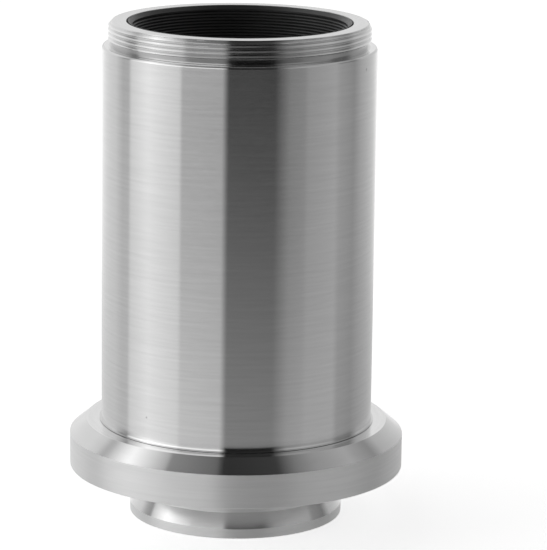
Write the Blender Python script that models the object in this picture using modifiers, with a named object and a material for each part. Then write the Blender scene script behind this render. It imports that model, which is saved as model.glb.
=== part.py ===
"""Microscope camera adapter: turned metal body with a dovetail spigot and a relay lens inside.

Units are metres, +Z is up and the origin is the centre of the spigot's underside.
Every piece is a turned shape on the Z axis, apart from the grub screws across the liner.
"""
import math

import bmesh
import bpy

MM = 0.001

# Clearance between two pieces that seat on each other
FIT = 0.3 * MM

# Facets round the axis
BODY_FACETS = 64
INNER_FACETS = 40

# Spigot that drops into the microscope's photo port
SPIGOT_D = 38.0 * MM
LIP_H = 1.75 * MM
LIP_CHAMFER = 0.2 * MM
DOVETAIL_H = 2.65 * MM
DOVETAIL_RUN = 1.2 * MM
NECK_H = 4.3 * MM
NECK_WALL = 1.6 * MM

# Flange that rests on the port's rim
LEDGE_W = 2.35 * MM
FLANGE_BAND_H = 6.0 * MM
FLANGE_EDGE = 0.2 * MM
BEVEL_RUN = 2.95 * MM
BEVEL_H = 2.4 * MM

# Collar that the tube screws on to, and the pocket for the lower baffle
COLLAR_H = 6.5 * MM
COLLAR_WALL = 3.0 * MM
BAFFLE_POCKET_DEPTH = 11.0 * MM
COLLAR_CHAMFER = 0.5 * MM

# Main tube
TUBE_D = 48.3 * MM
TUBE_H = 71.2 * MM
TUBE_FOOT_WALL = 1.85 * MM
TOE_STEP = 0.35 * MM
TOE_H = 0.15 * MM
SHOULDER_W = 1.1 * MM
SHOULDER_ROUND = 0.4 * MM
THREAD_H = 4.25 * MM
RELIEF_DEPTH = 0.65 * MM
RELIEF_WALL = 0.8 * MM
RELIEF_H = 1.1 * MM
RIM_CHAMFER = 0.65 * MM
MOUTH_LIP = 1.7 * MM
MOUTH_H = 3.0 * MM

# Black liner with light-trap ribs
LINER_WALL = 2.45 * MM
LINER_RISE = 9.3 * MM
LINER_LAND = 0.1 * MM
RIB_COUNT = 8
RIB_PITCH = 1.7 * MM
RIB_DEPTH = 0.6 * MM
RIB_TOP_LAND = 7.0 * MM
LINER_FOOT_LIP = 1.0 * MM
LINER_FOOT_H = 1.2 * MM

# Threaded rings, each with two spanner slots
LINER_RING_WALL = 3.8 * MM
LINER_RING_H = 3.2 * MM
BARREL_RING_WALL = 2.75 * MM
BARREL_RING_H = 2.6 * MM
LENS_RING_WALL = 1.5 * MM
LENS_RING_H = 2.4 * MM
CLAMP_RING_WALL = 2.7 * MM
CLAMP_RING_H = 2.6 * MM
SLOT_W = 1.4 * MM
SLOT_DEPTH = 1.0 * MM

# Lens barrel and what it holds
BARREL_GROOVE_DEPTH = 0.5 * MM
BARREL_GROOVE_H = 4.0 * MM
BARREL_SEAT_H = 1.4 * MM
BARREL_SEAT_LIP = 1.6 * MM
BARREL_TOP_LAND = 0.7 * MM
BARREL_WALL = 3.55 * MM
LOWER_CROWN_EDGE = 1.8 * MM
LOWER_CROWN_BOTTOM_R = 46.0 * MM
LOWER_CEMENT_R = 34.0 * MM
LOWER_FLINT_EDGE = 6.4 * MM
LOWER_FLINT_TOP_R = 95.0 * MM
UPPER_FLINT_EDGE = 6.0 * MM
UPPER_FLINT_BOTTOM_R = 120.0 * MM
UPPER_CEMENT_R = 36.0 * MM
UPPER_CROWN_EDGE = 1.6 * MM
UPPER_CROWN_TOP_R = 52.0 * MM
LENS_RINGS = 4
STOP_H = 0.8 * MM
STOP_BLADE_W = 4.7 * MM
SPACER_H = 2.0 * MM
SPACER_WALL = 1.6 * MM

# Baffles
LOWER_BAFFLE_H = 1.0 * MM
LOWER_BAFFLE_W = 5.7 * MM
UPPER_BAFFLE_H = 1.0 * MM
UPPER_BAFFLE_W = 5.05 * MM
SNAP_RING_WALL = 1.3 * MM
SNAP_RING_H = 0.9 * MM
SNAP_RING_GAP = 5.0 * MM

# Grub screws that lock the lens barrel in the liner
GRUB_COUNT = 3
GRUB_D = 2.4 * MM
GRUB_FACETS = 16
GRUB_SOCKET_D = 1.2 * MM
GRUB_SOCKET_DEPTH = 0.8 * MM
GRUB_FROM_BARREL_FOOT = 12.0 * MM

# Radii that follow from the tube's and the spigot's, each from the wall or fit beside it
TUBE_R = TUBE_D / 2
TOE_R = TUBE_R + TOE_STEP
THREAD_R = TUBE_R - SHOULDER_W
RELIEF_R = THREAD_R - RELIEF_DEPTH
TUBE_BORE_R = RELIEF_R - RELIEF_WALL
MOUTH_R = TUBE_BORE_R - MOUTH_LIP
TUBE_LOWER_BORE_R = TUBE_R - TUBE_FOOT_WALL
COLLAR_R = TUBE_LOWER_BORE_R - FIT
POCKET_R = COLLAR_R - COLLAR_WALL
FLANGE_R = TOE_R + LEDGE_W + BEVEL_RUN
LINER_R = TUBE_BORE_R - FIT
LINER_NOSE_R = MOUTH_R - FIT
LINER_BORE_R = LINER_R - LINER_WALL
BARREL_R = LINER_BORE_R - FIT
LENS_BORE_R = BARREL_R - BARREL_WALL
LENS_R = LENS_BORE_R - FIT
LENS_SEAT_R = LENS_BORE_R - BARREL_SEAT_LIP
LENS_RING_BORE_R = LENS_R - LENS_RING_WALL
SPIGOT_R = SPIGOT_D / 2
NECK_R = SPIGOT_R - DOVETAIL_RUN
SPIGOT_BORE_R = NECK_R - NECK_WALL


def sag(radius, curve_r):
    """Height that a lens face gains or loses between its centre and a radius."""
    return curve_r - math.sqrt(curve_r ** 2 - radius ** 2)


def drop(edge_r, inner_r, curve_r):
    """Height that a lens face gains or loses between an inner radius and its edge."""
    return sag(edge_r, curve_r) - sag(inner_r, curve_r)


# Heights that follow from the sizes above
DOVETAIL_TOP_Z = LIP_H + DOVETAIL_H
FLANGE_SEAT_Z = DOVETAIL_TOP_Z + NECK_H
BAND_TOP_Z = FLANGE_SEAT_Z + FLANGE_BAND_H
LEDGE_Z = BAND_TOP_Z + BEVEL_H
COLLAR_TOP_Z = LEDGE_Z + COLLAR_H
POCKET_Z = COLLAR_TOP_Z - BAFFLE_POCKET_DEPTH
TUBE_FOOT_Z = LEDGE_Z + FIT
RIM_Z = TUBE_FOOT_Z + TUBE_H
SHOULDER_Z = RIM_Z - THREAD_H
MOUTH_Z = RIM_Z - MOUTH_H
LINER_TOP_Z = RIM_Z
LINER_STEP_Z = MOUTH_Z - FIT
LINER_FOOT_Z = COLLAR_TOP_Z + LINER_RISE
BARREL_FOOT_Z = LINER_FOOT_Z + LINER_FOOT_H + FIT
LOWER_CROWN_Z = BARREL_FOOT_Z + BARREL_SEAT_H + FIT + drop(LENS_R, LENS_SEAT_R, LOWER_CROWN_BOTTOM_R)
LOWER_FLINT_Z = LOWER_CROWN_Z + LOWER_CROWN_EDGE + FIT
STOP_Z = LOWER_FLINT_Z + LOWER_FLINT_EDGE + FIT
SPACER_Z = STOP_Z + STOP_H + FIT
UPPER_FLINT_Z = SPACER_Z + SPACER_H + FIT
UPPER_CROWN_Z = UPPER_FLINT_Z + UPPER_FLINT_EDGE + FIT
LENS_RING_Z = UPPER_CROWN_Z + UPPER_CROWN_EDGE + FIT + drop(LENS_R, LENS_RING_BORE_R, UPPER_CROWN_TOP_R)
BARREL_TOP_Z = LENS_RING_Z + LENS_RING_H + BARREL_TOP_LAND
BARREL_RING_Z = BARREL_TOP_Z + FIT
UPPER_BAFFLE_Z = BARREL_RING_Z + BARREL_RING_H + FIT
SNAP_RING_Z = UPPER_BAFFLE_Z + UPPER_BAFFLE_H + FIT
LOWER_BAFFLE_Z = POCKET_Z + FIT
CLAMP_RING_Z = LOWER_BAFFLE_Z + LOWER_BAFFLE_H + FIT
GRUB_Z = BARREL_FOOT_Z + GRUB_FROM_BARREL_FOOT


def clear_scene():
    for existing in list(bpy.data.objects):
        bpy.data.objects.remove(existing, do_unlink=True)


def new_collection(name):
    collection = bpy.data.collections.new(name)
    bpy.context.scene.collection.children.link(collection)
    return collection


def metal(name, colour, roughness, metallic=1.0):
    material = bpy.data.materials.new(name)
    material.use_nodes = True
    shader = material.node_tree.nodes["Principled BSDF"]
    shader.inputs["Base Color"].default_value = (*colour, 1.0)
    shader.inputs["Roughness"].default_value = roughness
    shader.inputs["Metallic"].default_value = metallic
    return material


def optical_glass(name, colour, index):
    material = metal(name, colour, 0.03, metallic=0.0)
    shader = material.node_tree.nodes["Principled BSDF"]
    shader.inputs["Transmission Weight"].default_value = 1.0
    shader.inputs["IOR"].default_value = index
    return material


def turned(name, profile, facets, material, closed=True):
    """A profile of (radius, height) points, down its outer side, turned about the Z axis."""
    outline = bpy.data.meshes.new(name + "_outline")
    edges = [(i, i + 1) for i in range(len(profile) - 1)]
    if closed:
        edges.append((len(profile) - 1, 0))
    outline.from_pydata([(radius, 0.0, height) for radius, height in profile], edges, [])
    lathe = bpy.data.objects.new(name + "_lathe", outline)
    cutters.objects.link(lathe)
    screw = lathe.modifiers.new("Turn", "SCREW")
    screw.axis = "Z"
    screw.angle = math.tau
    screw.steps = facets
    screw.render_steps = facets
    screw.use_merge_vertices = True
    screw.merge_threshold = 1e-6
    evaluated = lathe.evaluated_get(bpy.context.evaluated_depsgraph_get())
    mesh = bpy.data.meshes.new_from_object(evaluated)
    mesh.name = name
    bpy.data.objects.remove(lathe)
    bpy.data.meshes.remove(outline)
    return add_piece(name, mesh, material)


def add_piece(name, mesh, material):
    mesh.shade_smooth()
    mesh.set_sharp_from_angle(angle=math.radians(25))
    mesh.materials.clear()
    mesh.materials.append(material)
    piece = bpy.data.objects.new(name, mesh)
    adapter.objects.link(piece)
    piece.parent = centre
    return piece


def box_cutter(name, size, location):
    shape = bmesh.new()
    bmesh.ops.create_cube(shape, size=1.0)
    bmesh.ops.scale(shape, vec=size, verts=shape.verts)
    return finish_cutter(name, shape, location)


def rod_cutter(name, radius, length, location, turn):
    shape = bmesh.new()
    bmesh.ops.create_cone(shape, cap_ends=True, segments=GRUB_FACETS,
                          radius1=radius, radius2=radius, depth=length)
    return finish_cutter(name, shape, location, (0.0, math.pi / 2, turn))


def finish_cutter(name, shape, location, rotation=(0.0, 0.0, 0.0)):
    mesh = bpy.data.meshes.new(name)
    shape.to_mesh(mesh)
    shape.free()
    cutter = bpy.data.objects.new(name, mesh)
    cutter.location = location
    cutter.rotation_euler = rotation
    cutter.display_type = "WIRE"
    cutter.hide_render = True
    cutters.objects.link(cutter)
    return cutter


def cut(piece, cutter):
    boolean = piece.modifiers.new(cutter.name, "BOOLEAN")
    boolean.operation = "DIFFERENCE"
    boolean.solver = "EXACT"
    boolean.object = cutter


def dome(edge_r, edge_z, curve_r, rise):
    """Points of a lens face from its centre to its edge: rise 1 bulges up, -1 hollows down."""
    full = sag(edge_r, curve_r)
    radii = [edge_r * i / LENS_RINGS for i in range(LENS_RINGS + 1)]
    return [(radius, edge_z + rise * (full - sag(radius, curve_r))) for radius in radii]


def lens(name, foot_z, edge_h, bottom_r, bottom_rise, top_r, top_rise, material):
    top = dome(LENS_R, foot_z + edge_h, top_r, top_rise)
    bottom = dome(LENS_R, foot_z, bottom_r, bottom_rise)
    return turned(name, top + bottom[::-1], INNER_FACETS, material, closed=False)


def washer(name, outer_r, wall, foot_z, height, material):
    hole_r = outer_r - wall
    top_z = foot_z + height
    profile = [(outer_r, top_z), (outer_r, foot_z), (hole_r, foot_z), (hole_r, top_z)]
    return turned(name, profile, INNER_FACETS, material)


def spanner_ring(name, outer_r, wall, foot_z, height, material):
    """A threaded ring whose top has a slot right across it for a two-pin spanner."""
    ring = washer(name, outer_r, wall, foot_z, height, material)
    slot = box_cutter(name + "_slot", (2.2 * outer_r, SLOT_W, 2 * SLOT_DEPTH), (0.0, 0.0, foot_z + height))
    cut(ring, slot)
    return ring


def build_mount_flange(material):
    profile = [
        (COLLAR_R - COLLAR_CHAMFER, COLLAR_TOP_Z),
        (COLLAR_R, COLLAR_TOP_Z - COLLAR_CHAMFER),
        (COLLAR_R, LEDGE_Z),
        (FLANGE_R - BEVEL_RUN, LEDGE_Z),
        (FLANGE_R, BAND_TOP_Z),
        (FLANGE_R, FLANGE_SEAT_Z + FLANGE_EDGE),
        (FLANGE_R - FLANGE_EDGE, FLANGE_SEAT_Z),
        (NECK_R, FLANGE_SEAT_Z),
        (NECK_R, DOVETAIL_TOP_Z),
        (SPIGOT_R, LIP_H),
        (SPIGOT_R, LIP_CHAMFER),
        (SPIGOT_R - LIP_CHAMFER, 0.0),
        (SPIGOT_BORE_R + LIP_CHAMFER, 0.0),
        (SPIGOT_BORE_R, LIP_CHAMFER),
        (SPIGOT_BORE_R, POCKET_Z),
        (POCKET_R, POCKET_Z),
        (POCKET_R, COLLAR_TOP_Z),
    ]
    return turned("mount_flange", profile, BODY_FACETS, material)


def build_main_tube(material):
    round_corner = [(TUBE_R - SHOULDER_ROUND * (1 - math.sin(angle)),
                     SHOULDER_Z - SHOULDER_ROUND * (1 - math.cos(angle)))
                    for angle in (0.0, math.pi / 6, math.pi / 3, math.pi / 2)]
    profile = [
        (THREAD_R - RIM_CHAMFER, RIM_Z),
        (THREAD_R, RIM_Z - RIM_CHAMFER),
        (THREAD_R, SHOULDER_Z + RELIEF_H),
        (RELIEF_R, SHOULDER_Z + RELIEF_H),
        (RELIEF_R, SHOULDER_Z),
        *round_corner,
        (TUBE_R, TUBE_FOOT_Z + TOE_H + TOE_STEP),
        (TOE_R, TUBE_FOOT_Z + TOE_H),
        (TOE_R, TUBE_FOOT_Z),
        (TUBE_LOWER_BORE_R, TUBE_FOOT_Z),
        (TUBE_LOWER_BORE_R, COLLAR_TOP_Z + FIT),
        (TUBE_BORE_R, COLLAR_TOP_Z + FIT),
        (TUBE_BORE_R, MOUTH_Z),
        (MOUTH_R, MOUTH_Z),
        (MOUTH_R, RIM_Z),
    ]
    return turned("main_tube", profile, BODY_FACETS, material)


def build_bore_liner(material):
    chamfer = LINER_NOSE_R - LINER_LAND - LINER_BORE_R
    ribs_top_z = LINER_TOP_Z - RIB_TOP_LAND
    ribs = []
    for i in reversed(range(RIB_COUNT)):
        groove_top_z = ribs_top_z - i * RIB_PITCH
        ribs.append((LINER_BORE_R, groove_top_z - RIB_PITCH / 2))
        ribs.append((LINER_BORE_R + RIB_DEPTH, groove_top_z - RIB_PITCH / 4))
        ribs.append((LINER_BORE_R, groove_top_z))
    profile = [
        (LINER_NOSE_R, LINER_TOP_Z),
        (LINER_NOSE_R, LINER_STEP_Z),
        (LINER_R, LINER_STEP_Z),
        (LINER_R, LINER_FOOT_Z),
        (LINER_BORE_R - LINER_FOOT_LIP, LINER_FOOT_Z),
        (LINER_BORE_R - LINER_FOOT_LIP, LINER_FOOT_Z + LINER_FOOT_H),
        (LINER_BORE_R, LINER_FOOT_Z + LINER_FOOT_H),
        *ribs,
        (LINER_BORE_R, LINER_TOP_Z - chamfer),
        (LINER_BORE_R + chamfer, LINER_TOP_Z),
    ]
    liner = turned("bore_liner", profile, INNER_FACETS, material)
    for i, (turn, place) in enumerate(grub_places(LINER_R)):
        cut(liner, rod_cutter(f"grub_hole_{i + 1}", GRUB_D / 2 + FIT, 4 * GRUB_D, place, turn))
    return liner


def grub_places(radius):
    for i in range(GRUB_COUNT):
        turn = math.tau * i / GRUB_COUNT + math.pi / 2
        yield turn, (radius * math.cos(turn), radius * math.sin(turn), GRUB_Z)


def build_grub_screws(material):
    """Each screw bears on the floor of the barrel's groove and ends flush inside the liner."""
    point_r = BARREL_R - BARREL_GROOVE_DEPTH + FIT
    end_r = LINER_R - FIT
    length = end_r - point_r
    for i, (turn, place) in enumerate(grub_places((point_r + end_r) / 2)):
        shape = bmesh.new()
        bmesh.ops.create_cone(shape, cap_ends=True, segments=GRUB_FACETS,
                              radius1=GRUB_D / 2, radius2=GRUB_D / 2, depth=length)
        mesh = bpy.data.meshes.new(f"grub_screw_{i + 1}")
        shape.to_mesh(mesh)
        shape.free()
        screw = add_piece(f"grub_screw_{i + 1}", mesh, material)
        screw.location = place
        screw.rotation_euler = (0.0, math.pi / 2, turn)
        outer_end = (end_r * math.cos(turn), end_r * math.sin(turn), GRUB_Z)
        socket = rod_cutter(f"grub_socket_{i + 1}", GRUB_SOCKET_D / 2, 2 * GRUB_SOCKET_DEPTH,
                            outer_end, turn)
        cut(screw, socket)


def build_lens_barrel(material):
    groove_r = BARREL_R - BARREL_GROOVE_DEPTH
    profile = [
        (BARREL_R, BARREL_TOP_Z),
        (BARREL_R, GRUB_Z + BARREL_GROOVE_H / 2),
        (groove_r, GRUB_Z + BARREL_GROOVE_H / 2),
        (groove_r, GRUB_Z - BARREL_GROOVE_H / 2),
        (BARREL_R, GRUB_Z - BARREL_GROOVE_H / 2),
        (BARREL_R, BARREL_FOOT_Z),
        (LENS_SEAT_R, BARREL_FOOT_Z),
        (LENS_SEAT_R, BARREL_FOOT_Z + BARREL_SEAT_H),
        (LENS_BORE_R, BARREL_FOOT_Z + BARREL_SEAT_H),
        (LENS_BORE_R, BARREL_TOP_Z),
    ]
    return turned("lens_barrel", profile, INNER_FACETS, material)


def build_optics(crown, flint, black):
    """The stack in the barrel, from its seat up, each piece one clearance above the last."""
    lens("lower_crown_lens", LOWER_CROWN_Z, LOWER_CROWN_EDGE, LOWER_CROWN_BOTTOM_R, -1,
         LOWER_CEMENT_R, 1, crown)
    lens("lower_flint_lens", LOWER_FLINT_Z, LOWER_FLINT_EDGE, LOWER_CEMENT_R, 1,
         LOWER_FLINT_TOP_R, -1, flint)
    washer("aperture_stop", LENS_R, STOP_BLADE_W, STOP_Z, STOP_H, black)
    washer("lens_spacer", LENS_R, SPACER_WALL, SPACER_Z, SPACER_H, black)
    lens("upper_flint_lens", UPPER_FLINT_Z, UPPER_FLINT_EDGE, UPPER_FLINT_BOTTOM_R, 1,
         UPPER_CEMENT_R, -1, flint)
    lens("upper_crown_lens", UPPER_CROWN_Z, UPPER_CROWN_EDGE, UPPER_CEMENT_R, -1,
         UPPER_CROWN_TOP_R, 1, crown)
    spanner_ring("lens_retaining_ring", LENS_R, LENS_RING_WALL, LENS_RING_Z, LENS_RING_H, black)


def build_upper_stack(black, steel):
    spanner_ring("barrel_lock_ring", BARREL_R, BARREL_RING_WALL, BARREL_RING_Z, BARREL_RING_H, black)
    washer("upper_baffle", BARREL_R, UPPER_BAFFLE_W, UPPER_BAFFLE_Z, UPPER_BAFFLE_H, black)
    ring = washer("baffle_snap_ring", BARREL_R, SNAP_RING_WALL, SNAP_RING_Z, SNAP_RING_H, steel)
    cut(ring, box_cutter("snap_ring_mouth", (SNAP_RING_GAP, 2 * BARREL_R, 4 * SNAP_RING_H),
                         (0.0, BARREL_R, SNAP_RING_Z)))


def build_lower_stack(black):
    outer_r = POCKET_R - FIT
    washer("lower_baffle", outer_r, LOWER_BAFFLE_W, LOWER_BAFFLE_Z, LOWER_BAFFLE_H, black)
    spanner_ring("baffle_clamp_ring", outer_r, CLAMP_RING_WALL, CLAMP_RING_Z, CLAMP_RING_H, black)


def build_liner_lock_ring(black):
    foot_z = LINER_FOOT_Z - FIT - LINER_RING_H
    spanner_ring("liner_lock_ring", LINER_R, LINER_RING_WALL, foot_z, LINER_RING_H, black)


def build_adapter():
    bright = metal("turned_bright_metal", (0.72, 0.71, 0.69), 0.28)
    black = metal("black_anodised", (0.012, 0.012, 0.013), 0.5, metallic=0.0)
    steel = metal("spring_steel", (0.35, 0.35, 0.36), 0.35)
    crown = optical_glass("crown_glass", (0.93, 0.97, 0.95), 1.52)
    flint = optical_glass("flint_glass", (0.95, 0.96, 0.93), 1.62)
    build_mount_flange(bright)
    build_main_tube(bright)
    build_bore_liner(black)
    build_liner_lock_ring(black)
    build_lens_barrel(black)
    build_optics(crown, flint, black)
    build_upper_stack(black, steel)
    build_lower_stack(black)
    build_grub_screws(steel)


clear_scene()
adapter = new_collection("microscope_camera_adapter")
cutters = new_collection("cutters")
centre = bpy.data.objects.new("adapter_axis", None)
adapter.objects.link(centre)
build_adapter()
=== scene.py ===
import math

import bmesh
import bpy
from mathutils import Matrix, Vector


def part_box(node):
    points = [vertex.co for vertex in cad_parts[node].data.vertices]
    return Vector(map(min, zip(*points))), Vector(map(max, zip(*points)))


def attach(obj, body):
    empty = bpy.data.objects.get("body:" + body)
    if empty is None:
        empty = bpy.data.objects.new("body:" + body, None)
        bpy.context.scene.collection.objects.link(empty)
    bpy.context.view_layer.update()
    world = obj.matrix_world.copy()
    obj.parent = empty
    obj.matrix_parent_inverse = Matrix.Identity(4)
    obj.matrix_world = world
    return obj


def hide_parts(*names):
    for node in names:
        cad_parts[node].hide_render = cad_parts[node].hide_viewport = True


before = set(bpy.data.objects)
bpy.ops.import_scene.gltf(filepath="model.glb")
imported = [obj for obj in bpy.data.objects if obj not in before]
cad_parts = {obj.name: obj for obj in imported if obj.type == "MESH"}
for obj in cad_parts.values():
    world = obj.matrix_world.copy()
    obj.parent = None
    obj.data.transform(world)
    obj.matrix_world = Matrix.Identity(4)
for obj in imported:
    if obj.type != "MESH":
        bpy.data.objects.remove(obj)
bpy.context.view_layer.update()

MM = 0.001

# Places read from the frame
TOE_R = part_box("main_tube")[1].x
TUBE_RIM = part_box("main_tube")[1].z
FLANGE_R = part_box("mount_flange")[1].x
COLLAR_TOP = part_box("mount_flange")[1].z
LINER_FOOT, LINER_TOP = (corner.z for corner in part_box("bore_liner"))
LINER_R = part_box("bore_liner")[1].x

# Gap between pieces that fit in one another
FIT = 0.3 * MM

# Main tube, measured from its rim; its toe stands just clear of the ledge
TOE_STEP = 0.35 * MM
TOE_FLARE = 0.07 * MM
TOE_H = 0.13 * MM
TOE_SLOPE = 0.3 * MM
FOOT_GAP = 0.05 * MM
TUBE_R = TOE_R - TOE_STEP
RIM_R = 22.4 * MM
THREAD_CREST_R = 23.07 * MM
THREAD_ROOT_R = 22.72 * MM
THREAD_PITCH = 0.85 * MM
THREAD_LENGTH = 3.17 * MM
THREAD_PHASE = 0.4 * MM
THREAD_SUNK = 0.12 * MM
THREAD_HALF = 0.42 * THREAD_PITCH
THREAD_LAND = 0.08 * THREAD_PITCH
THREAD_RUNOUT = 0.06 * MM
THREAD_TOP_GAP = 0.1 * MM
FLANK_PARTS = 8
RELIEF_R = 22.4 * MM
RELIEF_SLOPE = 0.1 * MM
SHOULDER_Z = TUBE_RIM - 4.25 * MM
SHOULDER_ROUND = 0.38 * MM
MOUTH_R = 19.9 * MM
MOUTH_H = 3.0 * MM
TUBE_BORE_R = LINER_R + FIT
TUBE_INSIDE_R = TUBE_BORE_R + 0.7 * MM
COLLAR_R = 22.0 * MM

# Flange and spigot, measured from the spigot's foot
SPIGOT_R = 19.0 * MM
LIP_H = 1.75 * MM
NECK_R = 17.8 * MM
NECK_FOOT_Z = 4.4 * MM
FLANGE_FOOT_Z = 8.7 * MM
BAND_TOP_Z = 14.7 * MM
LEDGE_Z = 17.1 * MM
BEVEL_RUN = 2.95 * MM
SPIGOT_BORE_R = 16.2 * MM
POCKET_R = 19.0 * MM
POCKET_Z = COLLAR_TOP - 11.0 * MM

# Black liner
LINER_BORE_R = 18.85 * MM
LINER_NOSE_R = MOUTH_R - FIT
LINER_FOOT_LIP = 1.0 * MM
LINER_FOOT_H = 1.2 * MM
LINER_CHAMFER = 0.65 * MM
FINE_THREAD_PITCH = 0.55 * MM
FINE_THREAD_DEPTH = 0.2 * MM
FINE_THREAD_FOOT = 0.8 * FINE_THREAD_PITCH
FINE_THREAD_FLOOR = 0.4 * FINE_THREAD_PITCH
FINE_THREAD_COUNT = 10
RIB_TOP_LAND = 7.0 * MM
RIB_COUNT = 8
RIB_PITCH = 1.7 * MM
RIB_DEPTH = 0.6 * MM

# Margins that sort a turned piece's faces into its finishes: a hair under a flat face, a fillet,
# a band's rounded corner, and the depth of the rim's chamfer
HAIR = 0.02 * MM
FILLET = 0.1 * MM
CORNER = 0.3 * MM
RIM_DEPTH = 0.4 * MM

# Edges broken on the inner pieces
BLACK_EDGE = 0.12 * MM
STEEL_EDGE = 0.06 * MM

# Tool lines: how many to a metre along a piece, how far each is drawn out round it, and the
# scale of the broad streaks beside the fine lines
METAL_LINES = 9000.0
BLACK_LINES = 6000.0
ROUND_STRETCH = 18.0
BROAD_SCALE = (0.12, 0.12, 0.2)

# Tones against a finish's own grey: swing of the streaks, a nick, the painted shade at a groove's
# floor, and the black finish's darkest and palest streaks
TONE_SWING = 0.033
NICK_TONE = 0.72
GROOVE_SHADE = 0.38
BLACK_TONES = (0.7, 1.5)
BLACK_SPREAD = 0.08

# Nicks on the tube: place and size
NICKS = [
    ((0.02184, -0.0103, 0.08195), 0.00035),
    ((0.02393, -0.00322, 0.0396), 0.0004),
    ((-0.01559, -0.01844, 0.02172), 0.00025),
]

# Smoothness of the turned pieces
BODY_STEPS = 256
LINER_STEPS = 160
ARC_STEPS = 5
HOLD = 0.03 * MM

# Camera, fitted to the photograph's ellipses
CAMERA_DISTANCE = 575.8 * MM
CAMERA_HEIGHT = 174.35 * MM
CAMERA_PITCH = math.radians(12.843)
CAMERA_ROLL = math.radians(0.571)
CAMERA_YAW = math.radians(-0.619)
FOCAL_PIXELS = 3321.0
LONG_SIDE_PIXELS = 550
SENSOR_MM = 36.0

# Floor: its grey, half its side in metres, and how much paler it looks to the camera than its
# own light makes it
FLOOR_GREY = 0.9
FLOOR_HALF = 3.0
FLOOR_LIFT = 0.62


def rounded(corners):
    """Profile points from (radius, height, fillet) corners: each fillet is an arc with a
    short straight stretch held on both sides, so the flats beside it shade flat."""
    points = []
    count = len(corners)
    for i, (r, z, fillet) in enumerate(corners):
        here = Vector((r, z))
        if fillet <= 0.0:
            points.append(here)
            continue
        before = (Vector(corners[i - 1][:2]) - here).normalized()
        after = (Vector(corners[(i + 1) % count][:2]) - here).normalized()
        half_angle = before.angle(after) / 2
        reach = fillet / math.tan(half_angle)
        start = here + before * reach
        end = here + after * reach
        centre = here + (before + after).normalized() * (fillet / math.sin(half_angle))
        points.append(start + before * HOLD)
        swing = (start - centre).angle_signed(end - centre)
        for step in range(ARC_STEPS + 1):
            turn = Matrix.Rotation(-swing * step / ARC_STEPS, 2)
            points.append(centre + turn @ (start - centre))
        points.append(end + after * HOLD)
    return points


def spun(profile, steps):
    """A closed outline of (radius, height) points spun about the Z axis."""
    shape = bmesh.new()
    ring = [shape.verts.new((point[0], 0.0, point[1])) for point in profile]
    edges = [shape.edges.new((a, b)) for a, b in zip(ring, ring[1:] + ring[:1])]
    bmesh.ops.spin(shape, geom=ring + edges, cent=(0, 0, 0), axis=(0, 0, 1),
                   angle=math.tau, steps=steps, use_merge=True)
    bmesh.ops.remove_doubles(shape, verts=shape.verts, dist=1e-7)
    bmesh.ops.recalc_face_normals(shape, faces=shape.faces)
    return shape


def finish_piece(name, shape, materials, stands_for=()):
    mesh = bpy.data.meshes.new(name)
    shape.to_mesh(mesh)
    shape.free()
    mesh.shade_smooth()
    mesh.set_sharp_from_angle(angle=math.radians(30))
    for material in materials:
        mesh.materials.append(material)
    piece = bpy.data.objects.new(name, mesh)
    bpy.context.scene.collection.objects.link(piece)
    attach(piece, "root")
    if stands_for:
        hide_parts(*stands_for)
    return piece


def shader_material(name, colour, roughness, metallic):
    material = bpy.data.materials.new(name)
    material.use_nodes = True
    shader = material.node_tree.nodes["Principled BSDF"]
    shader.inputs["Base Color"].default_value = (*colour, 1.0)
    shader.inputs["Roughness"].default_value = roughness
    shader.inputs["Metallic"].default_value = metallic
    return material, material.node_tree, shader


def node(tree, kind, **settings):
    made = tree.nodes.new(kind)
    for key, value in settings.items():
        setattr(made, key, value)
    return made


def group_with(name, inputs, outputs):
    group = bpy.data.node_groups.new(name, "ShaderNodeTree")
    for label, kind, value in inputs:
        socket = group.interface.new_socket(label, in_out="INPUT", socket_type=kind)
        socket.default_value = value
    for label, kind in outputs:
        group.interface.new_socket(label, in_out="OUTPUT", socket_type=kind)
    return group, group.nodes.new("NodeGroupInput"), group.nodes.new("NodeGroupOutput")


def math_node(tree, operation, a, b=None, clamp=False):
    made = node(tree, "ShaderNodeMath", operation=operation, use_clamp=clamp)
    for index, value in enumerate((a, b)):
        if value is None:
            continue
        if isinstance(value, (int, float)):
            made.inputs[index].default_value = value
        else:
            tree.links.new(value, made.inputs[index])
    return made.outputs[0]


def ranged(tree, value, low, high, from_low=0.3, from_high=0.7):
    """A value brought from one range, by default a noise pattern's, to another."""
    made = node(tree, "ShaderNodeMapRange", clamp=True)
    made.inputs["From Min"].default_value = from_low
    made.inputs["From Max"].default_value = from_high
    made.inputs["To Min"].default_value = low
    made.inputs["To Max"].default_value = high
    tree.links.new(value, made.inputs["Value"])
    return made.outputs["Result"]


def blended(tree, factor, *colours):
    """One colour going over into another; each is a plain grey or comes from another node."""
    made = node(tree, "ShaderNodeMix", data_type="RGBA")
    tree.links.new(factor, made.inputs["Factor"])
    for label, colour in zip("AB", colours):
        if isinstance(colour, float):
            made.inputs[label].default_value = (colour, colour, colour, 1.0)
        else:
            tree.links.new(colour, made.inputs[label])
    return made.outputs["Result"]


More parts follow.
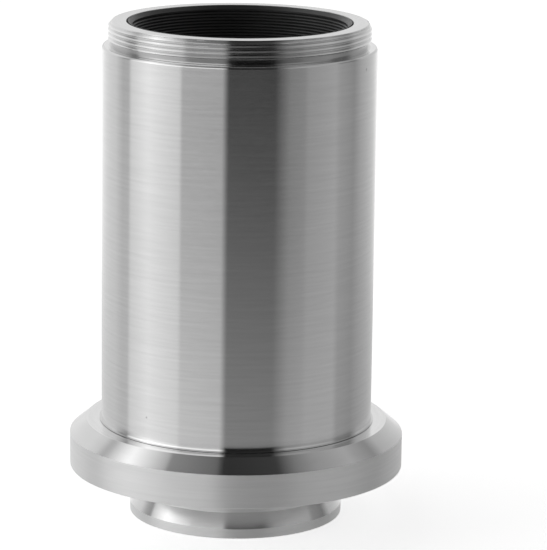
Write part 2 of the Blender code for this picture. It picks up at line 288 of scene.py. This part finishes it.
def turning_line_group():
    """Fine lines left by the tool round the axis: a pattern squeezed along Z and drawn out
    round the piece. Gives a grey value for colour and roughness and a height for the bump."""
    group, source, sink = group_with(
        "turning_lines",
        [("Lines Per Metre", "NodeSocketFloat", METAL_LINES),
         ("Round Stretch", "NodeSocketFloat", ROUND_STRETCH)],
        [("Fine", "NodeSocketFloat"), ("Broad", "NodeSocketFloat"), ("Height", "NodeSocketFloat"),
         ("Radius", "NodeSocketFloat")])
    place = node(group, "ShaderNodeTexCoord").outputs["Object"]
    parts = node(group, "ShaderNodeSeparateXYZ")
    group.links.new(place, parts.inputs[0])
    x, y, z = parts.outputs
    x_squared = math_node(group, "MULTIPLY", x, x)
    y_squared = math_node(group, "MULTIPLY", y, y)
    radius = math_node(group, "SQRT", math_node(group, "ADD", x_squared, y_squared))
    stretched = node(group, "ShaderNodeCombineXYZ")
    for index, across in enumerate((x, y)):
        unit = math_node(group, "DIVIDE", across, radius)
        drawn_out = math_node(group, "MULTIPLY", unit, source.outputs["Round Stretch"])
        group.links.new(drawn_out, stretched.inputs[index])
    along = math_node(group, "ADD", z, radius)
    squeezed = math_node(group, "MULTIPLY", along, source.outputs["Lines Per Metre"])
    group.links.new(squeezed, stretched.inputs[2])
    fine = node(group, "ShaderNodeTexNoise")
    fine.inputs["Scale"].default_value = 1.0
    fine.inputs["Detail"].default_value = 2.0
    group.links.new(stretched.outputs[0], fine.inputs["Vector"])
    slow = node(group, "ShaderNodeVectorMath", operation="MULTIPLY")
    slow.inputs[1].default_value = BROAD_SCALE
    group.links.new(stretched.outputs[0], slow.inputs[0])
    broad = node(group, "ShaderNodeTexNoise")
    broad.inputs["Scale"].default_value = 1.0
    broad.inputs["Detail"].default_value = 3.0
    group.links.new(slow.outputs[0], broad.inputs["Vector"])
    group.links.new(fine.outputs["Fac"], sink.inputs["Fine"])
    group.links.new(broad.outputs["Fac"], sink.inputs["Broad"])
    height = math_node(group, "ADD", math_node(group, "MULTIPLY", fine.outputs["Fac"], 0.7),
                       math_node(group, "MULTIPLY", broad.outputs["Fac"], 0.3))
    group.links.new(height, sink.inputs["Height"])
    group.links.new(radius, sink.inputs["Radius"])
    return group


def handling_group():
    """Faint smudges all over, and the few small nicks that the tube has."""
    group, source, sink = group_with(
        "handling_marks",
        [("Smudge Scale", "NodeSocketFloat", 90.0)],
        [("Smudge", "NodeSocketFloat"), ("Nick", "NodeSocketFloat")])
    place = node(group, "ShaderNodeTexCoord").outputs["Object"]
    smudge = node(group, "ShaderNodeTexNoise")
    smudge.inputs["Detail"].default_value = 4.0
    smudge.inputs["Roughness"].default_value = 0.6
    group.links.new(place, smudge.inputs["Vector"])
    group.links.new(source.outputs["Smudge Scale"], smudge.inputs["Scale"])
    group.links.new(smudge.outputs["Fac"], sink.inputs["Smudge"])
    total = 0.0
    for nick_place, size in NICKS:
        away = node(group, "ShaderNodeVectorMath", operation="DISTANCE")
        away.inputs[1].default_value = nick_place
        group.links.new(place, away.inputs[0])
        nick = ranged(group, away.outputs["Value"], 1.0, 0.0, size / 2, size)
        total = math_node(group, "ADD", nick, total)
    group.links.new(total, sink.inputs["Nick"])
    return group


def turned_metal(name, groups, grey, roughness, spread, line_depth, anisotropy=0.0,
                 metallic=1.0, groove=None):
    """Bright turned metal: colour, roughness and bump all follow the tool lines. Given a groove,
    by the radii of its floor and of its mouth, the colour darkens towards the floor: painted
    shade."""
    lines, handling = groups
    material, tree, shader = shader_material(name, (grey, grey, grey), roughness, metallic)
    tool = node(tree, "ShaderNodeGroup", node_tree=lines)
    tool.inputs["Lines Per Metre"].default_value = METAL_LINES
    tool.inputs["Round Stretch"].default_value = ROUND_STRETCH
    marks = node(tree, "ShaderNodeGroup", node_tree=handling)
    colour = blended(tree, ranged(tree, tool.outputs["Broad"], 0.0, 1.0),
                     grey * (1.0 - TONE_SWING), grey * (1.0 + TONE_SWING))
    colour = blended(tree, marks.outputs["Nick"], colour, grey * NICK_TONE)
    # Painted shade: the colour darkens from a groove's mouth down to its floor, where shade falls
    if groove:
        groove_shade_fade = ranged(tree, tool.outputs["Radius"], 0.0, 1.0, *groove)
        colour = blended(tree, groove_shade_fade, grey * GROOVE_SHADE, colour)
    tree.links.new(colour, shader.inputs["Base Color"])
    lined = ranged(tree, tool.outputs["Fine"], roughness - spread, roughness + spread)
    smudged = ranged(tree, marks.outputs["Smudge"], -spread / 2, spread / 2)
    tree.links.new(math_node(tree, "ADD", lined, smudged), shader.inputs["Roughness"])
    bump = node(tree, "ShaderNodeBump")
    bump.inputs["Strength"].default_value = 1.0
    bump.inputs["Distance"].default_value = line_depth
    tree.links.new(tool.outputs["Height"], bump.inputs["Height"])
    tree.links.new(bump.outputs["Normal"], shader.inputs["Normal"])
    if anisotropy > 0.0:
        tangent = node(tree, "ShaderNodeTangent", direction_type="RADIAL", axis="Z")
        tree.links.new(tangent.outputs["Tangent"], shader.inputs["Tangent"])
        shader.inputs["Anisotropic"].default_value = anisotropy
        shader.inputs["Anisotropic Rotation"].default_value = 0.25
    return material


def black_finish(name, grey, roughness, lines):
    """Matt black anodising with faint tool lines under it."""
    material, tree, shader = shader_material(name, (grey, grey, grey), roughness, 0.0)
    tool = node(tree, "ShaderNodeGroup", node_tree=lines)
    tool.inputs["Lines Per Metre"].default_value = BLACK_LINES
    dark, pale = (grey * tone for tone in BLACK_TONES)
    streaked = blended(tree, ranged(tree, tool.outputs["Broad"], 0.0, 1.0), dark, pale)
    tree.links.new(streaked, shader.inputs["Base Color"])
    lined = ranged(tree, tool.outputs["Fine"], roughness - BLACK_SPREAD, roughness + BLACK_SPREAD)
    tree.links.new(lined, shader.inputs["Roughness"])
    bump = node(tree, "ShaderNodeBump")
    bump.inputs["Strength"].default_value = 0.6
    bump.inputs["Distance"].default_value = 0.01 * MM
    tree.links.new(tool.outputs["Height"], bump.inputs["Height"])
    tree.links.new(bump.outputs["Normal"], shader.inputs["Normal"])
    return material


def coated_glass(name, index, tint, coat_tint, handling):
    """Lens glass with a faint coloured coating bloom and a trace of dust."""
    material, tree, shader = shader_material(name, tint, 0.02, 0.0)
    shader.inputs["Transmission Weight"].default_value = 1.0
    shader.inputs["IOR"].default_value = index
    shader.inputs["Specular Tint"].default_value = (*coat_tint, 1.0)
    marks = node(tree, "ShaderNodeGroup", node_tree=handling)
    dusty = ranged(tree, marks.outputs["Smudge"], 0.01, 0.05)
    tree.links.new(dusty, shader.inputs["Roughness"])
    return material


def build_tube(bright, satin, ridge):
    """Outer tube: rim, thread core, relief, shoulder, body and the small toe on the ledge. Its
    corners are given as radius, height and fillet."""
    thread_foot = TUBE_RIM - THREAD_LENGTH
    foot = LEDGE_Z + FOOT_GAP
    corners = [
        (RIM_R, TUBE_RIM, 0.05 * MM),
        (THREAD_ROOT_R, TUBE_RIM - THREAD_ROOT_R + RIM_R, 0.05 * MM),
        (THREAD_ROOT_R, thread_foot, 0.04 * MM),
        (RELIEF_R, thread_foot - RELIEF_SLOPE, 0.04 * MM),
        (RELIEF_R, SHOULDER_Z, 0.06 * MM),
        (TUBE_R, SHOULDER_Z, SHOULDER_ROUND),
        (TUBE_R, foot + TOE_H + TOE_SLOPE, 0.03 * MM),
        (TUBE_R + TOE_FLARE, foot + TOE_H, 0.02 * MM),
        (TOE_R, foot + TOE_H, 0.02 * MM),
        (TOE_R, foot, 0.03 * MM),
        (COLLAR_R + FIT, foot, 0.15 * MM),
        (COLLAR_R + FIT, COLLAR_TOP + FIT, 0.1 * MM),
        (TUBE_BORE_R, COLLAR_TOP + FIT, 0.1 * MM),
        (TUBE_BORE_R, TUBE_RIM - MOUTH_H, 0.1 * MM),
        (MOUTH_R, TUBE_RIM - MOUTH_H, 0.1 * MM),
        (MOUTH_R, TUBE_RIM, 0.06 * MM),
    ]
    shape = spun(rounded(corners), BODY_STEPS)
    for face in shape.faces:
        centre = face.calc_center_median()
        below_rim = centre.z < TUBE_RIM - HAIR
        inside = centre.xy.length < TUBE_INSIDE_R
        # The relief's faces take the thread metal, and with it the painted shade towards the
        # groove floor
        relief = SHOULDER_Z < centre.z < TUBE_RIM - RIM_DEPTH
        face.material_index = 1 if inside and below_rim else 2 if relief else 0
    return finish_piece("outer_tube", shape, [bright, satin, ridge], ["main_tube"])


def build_camera_thread(metal):
    """The male thread's ridge: a small V section swept up the tube, cut off flat at the relief
    and cut to the chamfer at the rim."""
    shape = bmesh.new()
    sunk = THREAD_ROOT_R - THREAD_SUNK
    foot_z = TUBE_RIM - THREAD_LENGTH
    start_z = foot_z - THREAD_PHASE
    turns = (THREAD_LENGTH + THREAD_PHASE) / THREAD_PITCH
    depth = THREAD_CREST_R - THREAD_ROOT_R
    flank = []
    for part in range(FLANK_PARTS + 1):
        share = part / FLANK_PARTS
        flank.append((THREAD_ROOT_R + depth * share,
                      THREAD_LAND + (THREAD_HALF - THREAD_LAND) * (1 - share)))
    lower_flank = [(r, -z) for r, z in flank]
    outline = [(sunk, -THREAD_HALF)] + lower_flank + flank[::-1] + [(sunk, THREAD_HALF)]
    ring = [shape.verts.new((r, 0.0, start_z + z)) for r, z in outline]
    first = shape.faces.new(ring)
    steps = round(BODY_STEPS * turns)
    section = list(first.verts) + list(first.edges) + [first]
    bmesh.ops.spin(shape, geom=section, cent=(0, 0, 0), axis=(0, 0, 1),
                   dvec=(0, 0, THREAD_PITCH * turns / steps),
                   angle=math.tau * turns, steps=steps, use_merge=False)
    bmesh.ops.remove_doubles(shape, verts=shape.verts, dist=1e-8)
    for vert in shape.verts:
        radius = vert.co.xy.length
        room = max(0.0, min(1.0, (vert.co.z - foot_z) / THREAD_RUNOUT))
        wanted = min(radius, sunk + (radius - sunk) * room, RIM_R + TUBE_RIM - vert.co.z)
        vert.co.z = min(max(vert.co.z, foot_z), TUBE_RIM - THREAD_TOP_GAP)
        vert.co.xy *= max(wanted, sunk) / radius
    bmesh.ops.recalc_face_normals(shape, faces=shape.faces)
    return finish_piece("camera_thread", shape, [metal])


def build_flange(bright, satin, paler_ledge_metal):
    """Flange and spigot in one piece, from the collar down the outside and up the bore."""
    corners = [
        (COLLAR_R, COLLAR_TOP, 0.4 * MM),
        (COLLAR_R, LEDGE_Z, 0.1 * MM),
        (FLANGE_R - BEVEL_RUN, LEDGE_Z, 0.06 * MM),
        (FLANGE_R, BAND_TOP_Z, 0.2 * MM),
        (FLANGE_R, FLANGE_FOOT_Z, 0.15 * MM),
        (NECK_R, FLANGE_FOOT_Z, 0.2 * MM),
        (NECK_R, NECK_FOOT_Z, 0.1 * MM),
        (SPIGOT_R, LIP_H, 0.06 * MM),
        (SPIGOT_R, 0.0, 0.15 * MM),
        (SPIGOT_BORE_R, 0.0, 0.15 * MM),
        (SPIGOT_BORE_R, POCKET_Z, 0.1 * MM),
        (POCKET_R, POCKET_Z, 0.1 * MM),
        (POCKET_R, COLLAR_TOP, 0.15 * MM),
    ]
    shape = spun(rounded(corners), BODY_STEPS)
    for face in shape.faces:
        centre = face.calc_center_median()
        radius = centre.xy.length
        band = FLANGE_FOOT_Z - FILLET < centre.z < BAND_TOP_Z and radius > FLANGE_R - CORNER
        lip = centre.z < LIP_H and radius > SPIGOT_BORE_R + 0.5 * MM
        neck = NECK_FOOT_Z < centre.z < FLANGE_FOOT_Z + FILLET and radius > NECK_R - FILLET
        # The ledge, the flange's top face, takes a paler copy of the bright metal: painted light
        ledge = centre.z > LEDGE_Z - HAIR and radius > COLLAR_R + FILLET
        face.material_index = 1 if band or lip or neck else 2 if ledge else 0
    return finish_piece("dovetail_flange", shape, [bright, satin, paler_ledge_metal],
                        ["mount_flange"])


def build_liner(black):
    """Black sleeve: chamfered mouth, fine thread below it, then deeper light-trap grooves."""
    corners = [
        (LINER_NOSE_R, LINER_TOP, 0.04 * MM),
        (LINER_NOSE_R, LINER_TOP - MOUTH_H - FIT, 0.1 * MM),
        (LINER_R, LINER_TOP - MOUTH_H - FIT, 0.2 * MM),
        (LINER_R, LINER_FOOT, 0.2 * MM),
        (LINER_BORE_R - LINER_FOOT_LIP, LINER_FOOT, 0.1 * MM),
        (LINER_BORE_R - LINER_FOOT_LIP, LINER_FOOT + LINER_FOOT_H, 0.1 * MM),
        (LINER_BORE_R, LINER_FOOT + LINER_FOOT_H, 0.1 * MM),
    ]
    for i in reversed(range(RIB_COUNT)):
        top = LINER_TOP - RIB_TOP_LAND - i * RIB_PITCH
        corners.append((LINER_BORE_R, top - RIB_PITCH / 2, 0.0))
        corners.append((LINER_BORE_R + RIB_DEPTH, top - RIB_PITCH / 4, 0.0))
        corners.append((LINER_BORE_R, top, 0.0))
    fine_top = LINER_TOP - LINER_CHAMFER - FINE_THREAD_PITCH / 2
    for i in reversed(range(FINE_THREAD_COUNT)):
        top = fine_top - i * FINE_THREAD_PITCH
        corners.append((LINER_BORE_R, top - FINE_THREAD_FOOT, 0.0))
        corners.append((LINER_BORE_R + FINE_THREAD_DEPTH, top - FINE_THREAD_FLOOR, 0.0))
        corners.append((LINER_BORE_R, top, 0.0))
    corners.append((LINER_BORE_R, LINER_TOP - LINER_CHAMFER, 0.0))
    corners.append((LINER_BORE_R + LINER_CHAMFER, LINER_TOP, 0.0))
    shape = spun(rounded(corners), LINER_STEPS)
    return finish_piece("black_liner", shape, [black], ["bore_liner"])


def build_from_solid(node_name, piece_name, material, edge):
    """A hidden or half-hidden piece keeps its solid's form, merged, smoothed and edge-broken."""
    shape = bmesh.new()
    shape.from_mesh(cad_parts[node_name].data)
    bmesh.ops.remove_doubles(shape, verts=shape.verts, dist=1e-6)
    bmesh.ops.dissolve_limit(shape, angle_limit=math.radians(1.0), verts=shape.verts,
                             edges=shape.edges)
    if edge > 0.0:
        sharp = [joint for joint in shape.edges
                 if len(joint.link_faces) == 2 and joint.calc_face_angle() > math.radians(50)]
        bmesh.ops.bevel(shape, geom=sharp, offset=edge, affect="EDGES", segments=2, profile=0.5,
                        material=-1)
    return finish_piece(piece_name, shape, [material], [node_name])


def build_stage():
    """Pale floor that keeps the object's shadow; it hides nothing from below."""
    floor = bmesh.new()
    bmesh.ops.create_grid(floor, x_segments=1, y_segments=1, size=FLOOR_HALF)
    mesh = bpy.data.meshes.new("floor")
    floor.to_mesh(mesh)
    floor.free()
    material, tree, shader = shader_material("pale_floor", (FLOOR_GREY,) * 3, roughness=0.8,
                                             metallic=0.0)
    shader.inputs["Emission Color"].default_value = (1.0, 1.0, 1.0, 1.0)
    seen = node(tree, "ShaderNodeLightPath").outputs["Is Camera Ray"]
    lifted = math_node(tree, "MULTIPLY", seen, FLOOR_LIFT)
    tree.links.new(lifted, shader.inputs["Emission Strength"])
    clear = node(tree, "ShaderNodeBsdfTransparent")
    pick = node(tree, "ShaderNodeMixShader")
    tree.links.new(node(tree, "ShaderNodeNewGeometry").outputs["Backfacing"], pick.inputs["Fac"])
    tree.links.new(shader.outputs["BSDF"], pick.inputs[1])
    tree.links.new(clear.outputs["BSDF"], pick.inputs[2])
    tree.links.new(pick.outputs[0], tree.nodes["Material Output"].inputs["Surface"])
    mesh.materials.append(material)
    piece = bpy.data.objects.new("floor", mesh)
    bpy.context.scene.collection.objects.link(piece)
    piece.visible_glossy = False


# Studio round the object, laid out by what a mirror on the turntable would show: each panel
# fills the mirror from one facing to another, in degrees from the front and positive to the
# right. Its two levels, one at each of its ends, are given for four leans of the mirror.
STUDIO = [
    ("rear_left", -87.0, -63.0, (0.78, 0.74), (0.98, 0.84), (1.20, 0.85), (0.96, 0.96)),
    ("gap_left", -57.0, -53.0, (0.68, 0.68), (0.71, 0.71), (0.25, 0.25), (0.85, 0.60)),
    ("box_left_outer", -51.0, -42.0, (0.90, 1.08), (0.88, 1.02), (1.15, 1.90), (0.65, 1.35)),
    ("box_left_inner", -40.0, -25.5, (1.16, 1.00), (0.98, 0.70), (2.10, 1.70), (1.45, 0.60)),
    ("reflector_left", -24.0, -7.0, (1.02, 0.90), (0.31, 0.27), (1.50, 1.45), (0.34, 0.19)),
    ("dark_front", -4.5, 15.0, (0.50, 0.47), (0.00, 0.00), (0.02, 0.02), (0.04, 0.06)),
    ("reflector_right", 21.5, 28.0, (0.58, 0.62), (0.17, 0.22), (0.55, 0.62), (0.25, 0.38)),
    ("box_right", 30.0, 44.0, (0.62, 0.55), (0.32, 0.51), (0.62, 0.45), (0.41, 0.54)),
    ("fall_right", 47.0, 56.0, (0.40, 0.36), (0.50, 0.42), (0.20, 0.15), (0.48, 0.36)),
    ("rear_right", 62.0, 87.0, (0.42, 0.63), (0.50, 0.86), (0.60, 1.05), (0.60, 0.80)),
]
# The four leans: the z part of the mirror's normal, from a little downward to well up
STUDIO_LEANS = (-0.04, 0.015, 0.22, 0.50)
# A mirror that lies flat shows the light behind the object
FLAT_LEANS = (0.92, 0.99)
FLAT_LEVEL = 0.85
# A mirror that leans forward shows the white table
TABLE_LEANS = (-0.30, -0.40)
TABLE_LEVEL = 1.0
# One that leans further still shows the object's own shade, with the levels of the second lean,
# but only as far as it turns the light: that keeps the shade off the object's back
SHADE_LEANS = (-0.55, -0.75)
SHADE_TURNS = (0.25, 0.5)
# Direction in which the mirror is looked at
SIGHT = (0.0, 0.975, -0.2217)


def panel_ramp(tree, facing, row):
    """The panels' levels at one lean, over the mirror's facing; both ends meet at the back."""
    ramp = node(tree, "ShaderNodeValToRGB")
    stops = ramp.color_ramp.elements
    while len(stops) > 1:
        stops.remove(stops[-1])
    ends = []
    for _, start, end, *levels in STUDIO:
        ends += zip((start, end), levels[row])
    back = (ends[0][1] + ends[-1][1]) / 2
    ends = [(-90.0, back)] + ends + [(90.0, back)]
    for i, (place, level) in enumerate(ends):
        position = (place + 90.0) / 180.0
        stop = stops[0] if i == 0 else stops.new(position)
        stop.position = position
        stop.color = (level, level, level, 1.0)
    tree.links.new(facing, ramp.inputs["Fac"])
    return ramp.outputs["Color"]


def build_studio():
    """The light that comes from each direction is looked up by the mirror that would show it."""
    world = bpy.data.worlds.new("studio")
    bpy.context.scene.world = world
    world.use_nodes = True
    tree = world.node_tree
    light = tree.nodes["Background"]
    way = node(tree, "ShaderNodeTexCoord").outputs["Generated"]
    between = node(tree, "ShaderNodeVectorMath", operation="SUBTRACT")
    between.inputs[1].default_value = SIGHT
    tree.links.new(way, between.inputs[0])
    mirror = node(tree, "ShaderNodeVectorMath", operation="NORMALIZE")
    tree.links.new(between.outputs[0], mirror.inputs[0])
    parts = node(tree, "ShaderNodeSeparateXYZ")
    tree.links.new(mirror.outputs[0], parts.inputs[0])
    x, y, lean = parts.outputs
    angle = math_node(tree, "ARCTAN2", x, math_node(tree, "MULTIPLY", y, -1.0))
    facing = math_node(tree, "ADD", math_node(tree, "DIVIDE", angle, math.pi), 0.5, clamp=True)
    ramps = [panel_ramp(tree, facing, row) for row in range(len(STUDIO_LEANS))]
    colour = ramps[0]
    for ramp, low, high in zip(ramps[1:], STUDIO_LEANS, STUDIO_LEANS[1:]):
        colour = blended(tree, ranged(tree, lean, 0.0, 1.0, low, high), colour, ramp)
    for level, leans in ((FLAT_LEVEL, FLAT_LEANS), (TABLE_LEVEL, TABLE_LEANS)):
        colour = blended(tree, ranged(tree, lean, 0.0, 1.0, *leans), colour, level)
    turned = node(tree, "ShaderNodeVectorMath", operation="LENGTH")
    tree.links.new(between.outputs[0], turned.inputs[0])
    shaded = math_node(tree, "MULTIPLY", ranged(tree, lean, 0.0, 1.0, *SHADE_LEANS),
                       ranged(tree, turned.outputs["Value"], 0.0, 1.0, *SHADE_TURNS))
    tree.links.new(blended(tree, shaded, colour, ramps[1]), light.inputs["Color"])
    light.inputs["Strength"].default_value = 1.0
    backdrop = node(tree, "ShaderNodeBackground")
    backdrop.inputs["Color"].default_value = (1.0, 1.0, 1.0, 1.0)
    pick = node(tree, "ShaderNodeMixShader")
    tree.links.new(node(tree, "ShaderNodeLightPath").outputs["Is Camera Ray"], pick.inputs["Fac"])
    tree.links.new(light.outputs["Background"], pick.inputs[1])
    tree.links.new(backdrop.outputs["Background"], pick.inputs[2])
    tree.links.new(pick.outputs[0], tree.nodes["World Output"].inputs["Surface"])


def build_camera():
    data = bpy.data.cameras.new("camera")
    data.sensor_width = SENSOR_MM
    data.lens = FOCAL_PIXELS * SENSOR_MM / LONG_SIDE_PIXELS
    data.clip_start = 0.01
    camera = bpy.data.objects.new("camera", data)
    bpy.context.scene.collection.objects.link(camera)
    turn = (Matrix.Rotation(math.radians(90) - CAMERA_PITCH, 4, "X")
            @ Matrix.Rotation(CAMERA_ROLL, 4, "Z")
            @ Matrix.Rotation(CAMERA_YAW, 4, "Y"))
    camera.matrix_world = Matrix.Translation((0.0, -CAMERA_DISTANCE, CAMERA_HEIGHT)) @ turn
    bpy.context.scene.camera = camera


def build_object():
    lines = turning_line_group()
    handling = handling_group()
    groups = (lines, handling)
    bright = turned_metal("turned_bright", groups, grey=0.64, roughness=0.12, spread=0.008,
                          line_depth=0.0002 * MM, anisotropy=1.0)
    satin = turned_metal("turned_satin", groups, grey=0.74, roughness=0.42, spread=0.02,
                         line_depth=0.0006 * MM, anisotropy=0.85, metallic=0.5)
    # Ledge metal: the bright metal made paler, painted light on the flange's top face
    paler_ledge_metal = turned_metal("turned_face", groups, grey=0.78, roughness=0.12, spread=0.008,
                         line_depth=0.0002 * MM, anisotropy=1.0)
    # Thread metal: a paler copy of the bright metal (painted light), painted shade in its grooves
    ridge = turned_metal("turned_thread", groups, grey=0.78, roughness=0.13, spread=0.02,
                         line_depth=0.0004 * MM,
                         groove=(RELIEF_R - 0.2 * MM, THREAD_CREST_R - 0.05 * MM))
    steel = turned_metal("dark_steel", groups, grey=0.22, roughness=0.35, spread=0.05,
                         line_depth=0.003 * MM)
    black = black_finish("black_anodised", grey=0.02, roughness=0.38, lines=lines)
    crown = coated_glass("crown_glass", index=1.52, tint=(0.95, 0.985, 0.97),
                         coat_tint=(0.55, 0.8, 0.65), handling=handling)
    flint = coated_glass("flint_glass", index=1.62, tint=(0.96, 0.97, 0.95),
                         coat_tint=(0.7, 0.6, 0.8), handling=handling)
    build_tube(bright, satin, ridge)
    build_camera_thread(ridge)
    build_flange(bright, satin, paler_ledge_metal)
    build_liner(black)
    for solid in ("liner_lock_ring", "lens_barrel", "barrel_lock_ring", "aperture_stop",
                  "lens_spacer", "lens_retaining_ring", "upper_baffle", "lower_baffle",
                  "baffle_clamp_ring"):
        build_from_solid(solid, "black_" + solid, black, BLACK_EDGE)
    for solid in ("baffle_snap_ring", "grub_screw_1", "grub_screw_2", "grub_screw_3"):
        build_from_solid(solid, "steel_" + solid, steel, STEEL_EDGE)
    for solid, material, slot in (("lower_crown_lens", crown, "crown_glass"),
                                  ("lower_flint_lens", flint, "flint_glass"),
                                  ("upper_flint_lens", flint, "flint_glass"),
                                  ("upper_crown_lens", crown, "crown_glass")):
        build_from_solid(solid, "glass_" + solid, material, 0.0)


build_object()
build_stage()
build_studio()
build_camera()
bpy.context.scene.view_settings.view_transform = "Standard"
